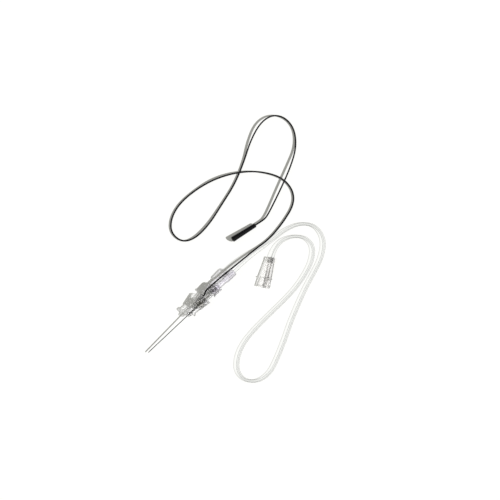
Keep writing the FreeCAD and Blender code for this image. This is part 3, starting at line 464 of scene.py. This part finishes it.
class NEEDLE_OT_set_stage(bpy.types.Operator):
    """Set up the camera, the surface, the lamp and the sky"""

    bl_idname = "needle.set_stage"
    bl_label = "Set stage"

    def execute(self, context):
        stage = context.scene.needle_stage
        right = Vector((math.cos(stage.heading), -math.sin(stage.heading), 0.0))
        away = Vector((math.sin(stage.heading), math.cos(stage.heading), 0.0))
        up = Vector((0.0, 0.0, 1.0))
        target = Vector(stage.target)
        back = up * math.sin(stage.elevation) - away * math.cos(stage.elevation)
        self.add_camera(context, stage, target, back)
        self.add_lamp(context, stage, right, away, up)
        self.add_floor(stage)
        self.add_sky(context, stage)
        context.scene.view_settings.view_transform = "Standard"
        return {"FINISHED"}

    def add_camera(self, context, stage, target, back):
        """Long lens, so that the view is nearly without perspective."""
        lens = bpy.data.cameras.new("camera")
        lens.sensor_width = SENSOR_WIDTH
        lens.lens = lens.sensor_width * stage.distance / stage.width
        lens.clip_end = stage.distance * 4.0
        camera = bpy.data.objects.new("camera", lens)
        camera.location = target + back * stage.distance
        camera.rotation_euler = (-back).to_track_quat("-Z", "Y").to_euler()
        context.scene.collection.objects.link(camera)
        context.scene.camera = camera

    def add_lamp(self, context, stage, right, away, up):
        """One lamp, low on the picture's right."""
        level = right * math.cos(stage.lamp_side) - away * math.sin(stage.lamp_side)
        towards = level * math.cos(stage.lamp_elevation) + up * math.sin(stage.lamp_elevation)
        light = bpy.data.lights.new("lamp", "SUN")
        light.energy = stage.lamp_strength
        light.angle = stage.lamp_angle
        lamp = bpy.data.objects.new("lamp", light)
        lamp.rotation_euler = (-towards).to_track_quat("-Z", "Y").to_euler()
        lamp.location = towards
        context.scene.collection.objects.link(lamp)

    def add_floor(self, stage):
        """Plain pale surface that the camera sees as white, with the object's shadow on it."""
        corners = FLOOR_HALF * np.array([(-1, -1, 0), (1, -1, 0), (1, 1, 0), (-1, 1, 0)])
        material, tree, output = finish_sheet("pale_surface")
        paint = add_node(tree, "BsdfDiffuse", sockets={"Color": rgba([stage.floor_shade] * 3)})
        rays = add_node(tree, "LightPath")
        seen = rays.outputs["Is Camera Ray"]
        for way in ("Is Glossy Ray", "Is Transmission Ray"):
            either = add_node(tree, "Math", operation="ADD", use_clamp=True)
            tree.links.new(seen, either.inputs[0])
            tree.links.new(rays.outputs[way], either.inputs[1])
            seen = either.outputs["Value"]
        lift = add_node(tree, "Math", operation="MULTIPLY")
        lift.inputs[1].default_value = stage.floor_lift
        tree.links.new(seen, lift.inputs[0])
        glow = add_node(tree, "Emission")
        tree.links.new(lift.outputs["Value"], glow.inputs["Strength"])
        both = add_node(tree, "AddShader")
        tree.links.new(paint.outputs["BSDF"], both.inputs[0])
        tree.links.new(glow.outputs["Emission"], both.inputs[1])
        tree.links.new(both.outputs["Shader"], output.inputs["Surface"])
        floor = mesh_piece("surface", corners, np.array([[0, 1, 2, 3]]), material)

    def add_sky(self, context, stage):
        """Even light, seen as white by the camera; its faint yellow tints the shadows."""
        world = bpy.data.worlds.new("sky")
        world.use_nodes = True
        tree = world.node_tree
        tree.nodes.clear()
        output = tree.nodes.new("ShaderNodeOutputWorld")
        rays = add_node(tree, "LightPath")
        strength = between(tree, rays.outputs["Is Camera Ray"], 0.0, 1.0, stage.sky_strength, 1.0)
        colour = blend(tree, rays.outputs["Is Camera Ray"], stage.sky_colour, WHITE)
        sky = add_node(tree, "Background")
        tree.links.new(colour, sky.inputs["Color"])
        tree.links.new(strength, sky.inputs["Strength"])
        tree.links.new(sky.outputs["Background"], output.inputs["Surface"])
        context.scene.world = world


class NEEDLE_OT_lay_lead(bpy.types.Operator):
    """Lay the black lead along its route, from the hub to the plug"""

    bl_idname = "needle.lay_lead"
    bl_label = "Lay lead"

    def execute(self, context):
        sizes = context.scene.needle_sizes
        colours = context.scene.needle_finishes
        curve = spline_curve("lead", LEAD_ROUTE)
        curve.bevel_depth = sizes.lead_diameter / 2.0
        curve.bevel_resolution = LEAD_BEVEL
        curve.use_fill_caps = True
        jacket = black_plastic("lead_jacket", colours.jacket, roughness=0.45, scale=900.0,
                               grain=0.05, gloss=0.08)
        curve.materials.append(jacket)
        lead = bpy.data.objects.new("lead", curve)
        context.scene.collection.objects.link(lead)
        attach(lead, "hub")
        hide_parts("lead_wire")
        return {"FINISHED"}


class NEEDLE_OT_lay_line(bpy.types.Operator):
    """Lay the clear injection line along its route, from the connector to the port"""

    bl_idname = "needle.lay_line"
    bl_label = "Lay injection line"

    def execute(self, context):
        sizes = context.scene.needle_sizes
        colours = context.scene.needle_finishes
        path = spline_path("line", LINE_ROUTE)
        outer = sweep(path, sizes.line_diameter / 2.0, sizes.line_sides)
        inner = sweep(path, sizes.line_bore / 2.0, sizes.line_sides)
        shell = np.concatenate([outer, inner[::-1]])
        faces = grid_faces(len(shell), sizes.line_sides)
        # The line's walls get painted edge shade in the edge grey, scaled down on the bore
        material = clear_plastic("soft_clear_line", colours.line_tint, colours.painted_edge_shade,
                                 sharpness=2.2, straight=1.0, bent_edge=0.0, uneven=0.08,
                                 share="painted_edge_share")
        line = mesh_piece("injection_line", shell, faces[:, ::-1], material)
        # How much painted edge shade each point gets: all of it on the outer wall, the bore share
        # on the bore
        shares = np.repeat((1.0, sizes.bore_painted_shade_share), len(path) * sizes.line_sides)
        painted_edge_share = line.data.attributes.new("painted_edge_share", "FLOAT", "POINT")
        painted_edge_share.data.foreach_set("value", shares)
        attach(line, "connector")
        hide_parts("extension_tube")
        return {"FINISHED"}


class NEEDLE_OT_finish_needle(bpy.types.Operator):
    """Give the cannula, its coat and the wound strand their finishes"""

    bl_idname = "needle.finish_needle"
    bl_label = "Finish needle"

    def execute(self, context):
        colours = context.scene.needle_finishes
        dress("cannula", metal("ground_steel", colours.steel, 0.22, ALONG))
        # The coat's edges get painted shade in the coat edge grey
        coat = clear_plastic("needle_coat", colours.coat, colours.painted_coat_edge, sharpness=2.0,
                             straight=0.95, bent_edge=0.4, uneven=0.08)
        dress("needle_coating", coat)
        strand = metal("wound_strand", colours.strand, 0.35, EVEN, scale=2500.0, grain=0.4)
        dress("contact_winding", strand)
        dress("crimped_strand", strand)
        dress("solder_joint", metal("solder", colours.solder, 0.4, EVEN, scale=1500.0))
        return {"FINISHED"}


class NEEDLE_OT_finish_mouldings(bpy.types.Operator):
    """Give the hub, the connector, the collar and the port their clear plastics"""

    bl_idname = "needle.finish_mouldings"
    bl_label = "Finish clear mouldings"

    def execute(self, context):
        colours = context.scene.needle_finishes
        # node, material, colour, how thin its painted dark edge is, how much goes through unbent
        mouldings = [
            ("needle_hub", "hub_plastic", colours.hub_tint, 2.0, 0.94),
            ("luer_spigot", "connector_plastic", colours.connector_tint, 1.7, 0.95),
            ("locking_collar", "collar_plastic", colours.connector_tint, 4.0, 0.1),
            ("injection_port", "port_plastic", colours.port_tint, 1.6, 0.9),
        ]
        for node, name, tint, sharpness, straight in mouldings:
            dress(node, clear_plastic(name, tint, colours.painted_edge_shade, sharpness, straight))
        # The glue's edges get painted shade in the glue edge grey
        glue = clear_plastic("cured_glue", colours.glue, colours.painted_glue_edge, sharpness=3.0,
                             straight=0.2, roughness=0.1)
        dress("cannula_seal", glue)
        dress("lead_sealant", glue)
        return {"FINISHED"}


class NEEDLE_OT_finish_plug(bpy.types.Operator):
    """Give the plug's sleeve and its metal socket their finishes"""

    bl_idname = "needle.finish_plug"
    bl_label = "Finish plug"

    def execute(self, context):
        colours = context.scene.needle_finishes
        sleeve = black_plastic("plug_plastic", colours.plug, roughness=0.25, scale=1200.0,
                               grain=0.2, gloss=0.2)
        dress("plug_body", sleeve)
        dress("plug_contact", metal("plated_contact", colours.contact, 0.25, SLIGHTLY_ALONG))
        return {"FINISHED"}


class NEEDLE_PT_panel(bpy.types.Panel):
    """Steps that dress the needle, in order"""

    bl_label = "Needle"
    bl_idname = "NEEDLE_PT_panel"
    bl_space_type = "VIEW_3D"
    bl_region_type = "UI"
    bl_category = "Needle"

    def draw(self, context):
        for step in STEPS:
            self.layout.operator(step.bl_idname)
        scene = context.scene
        for group in (scene.needle_sizes, scene.needle_finishes, scene.needle_stage):
            box = self.layout.box()
            for name in group.bl_rna.properties.keys():
                if name not in ("rna_type", "name"):
                    box.prop(group, name)


STEPS = [
    NEEDLE_OT_set_stage,
    NEEDLE_OT_lay_lead,
    NEEDLE_OT_lay_line,
    NEEDLE_OT_finish_needle,
    NEEDLE_OT_finish_mouldings,
    NEEDLE_OT_finish_plug,
]
CLASSES = [NeedleSizes, NeedleFinishes, NeedleStage] + STEPS + [NEEDLE_PT_panel]


def register():
    """Adds the classes and the scene's three groups of values."""
    for item in CLASSES:
        bpy.utils.register_class(item)
    bpy.types.Scene.needle_sizes = PointerProperty(type=NeedleSizes)
    bpy.types.Scene.needle_finishes = PointerProperty(type=NeedleFinishes)
    bpy.types.Scene.needle_stage = PointerProperty(type=NeedleStage)


def unregister():
    """Takes away what register added."""
    del bpy.types.Scene.needle_stage
    del bpy.types.Scene.needle_finishes
    del bpy.types.Scene.needle_sizes
    for item in reversed(CLASSES):
        bpy.utils.unregister_class(item)


def main():
    """Registers the add-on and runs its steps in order."""
    register()
    bpy.ops.needle.set_stage()
    bpy.ops.needle.lay_lead()
    bpy.ops.needle.lay_line()
    bpy.ops.needle.finish_needle()
    bpy.ops.needle.finish_mouldings()
    bpy.ops.needle.finish_plug()


if __name__ == "__main__":
    main()
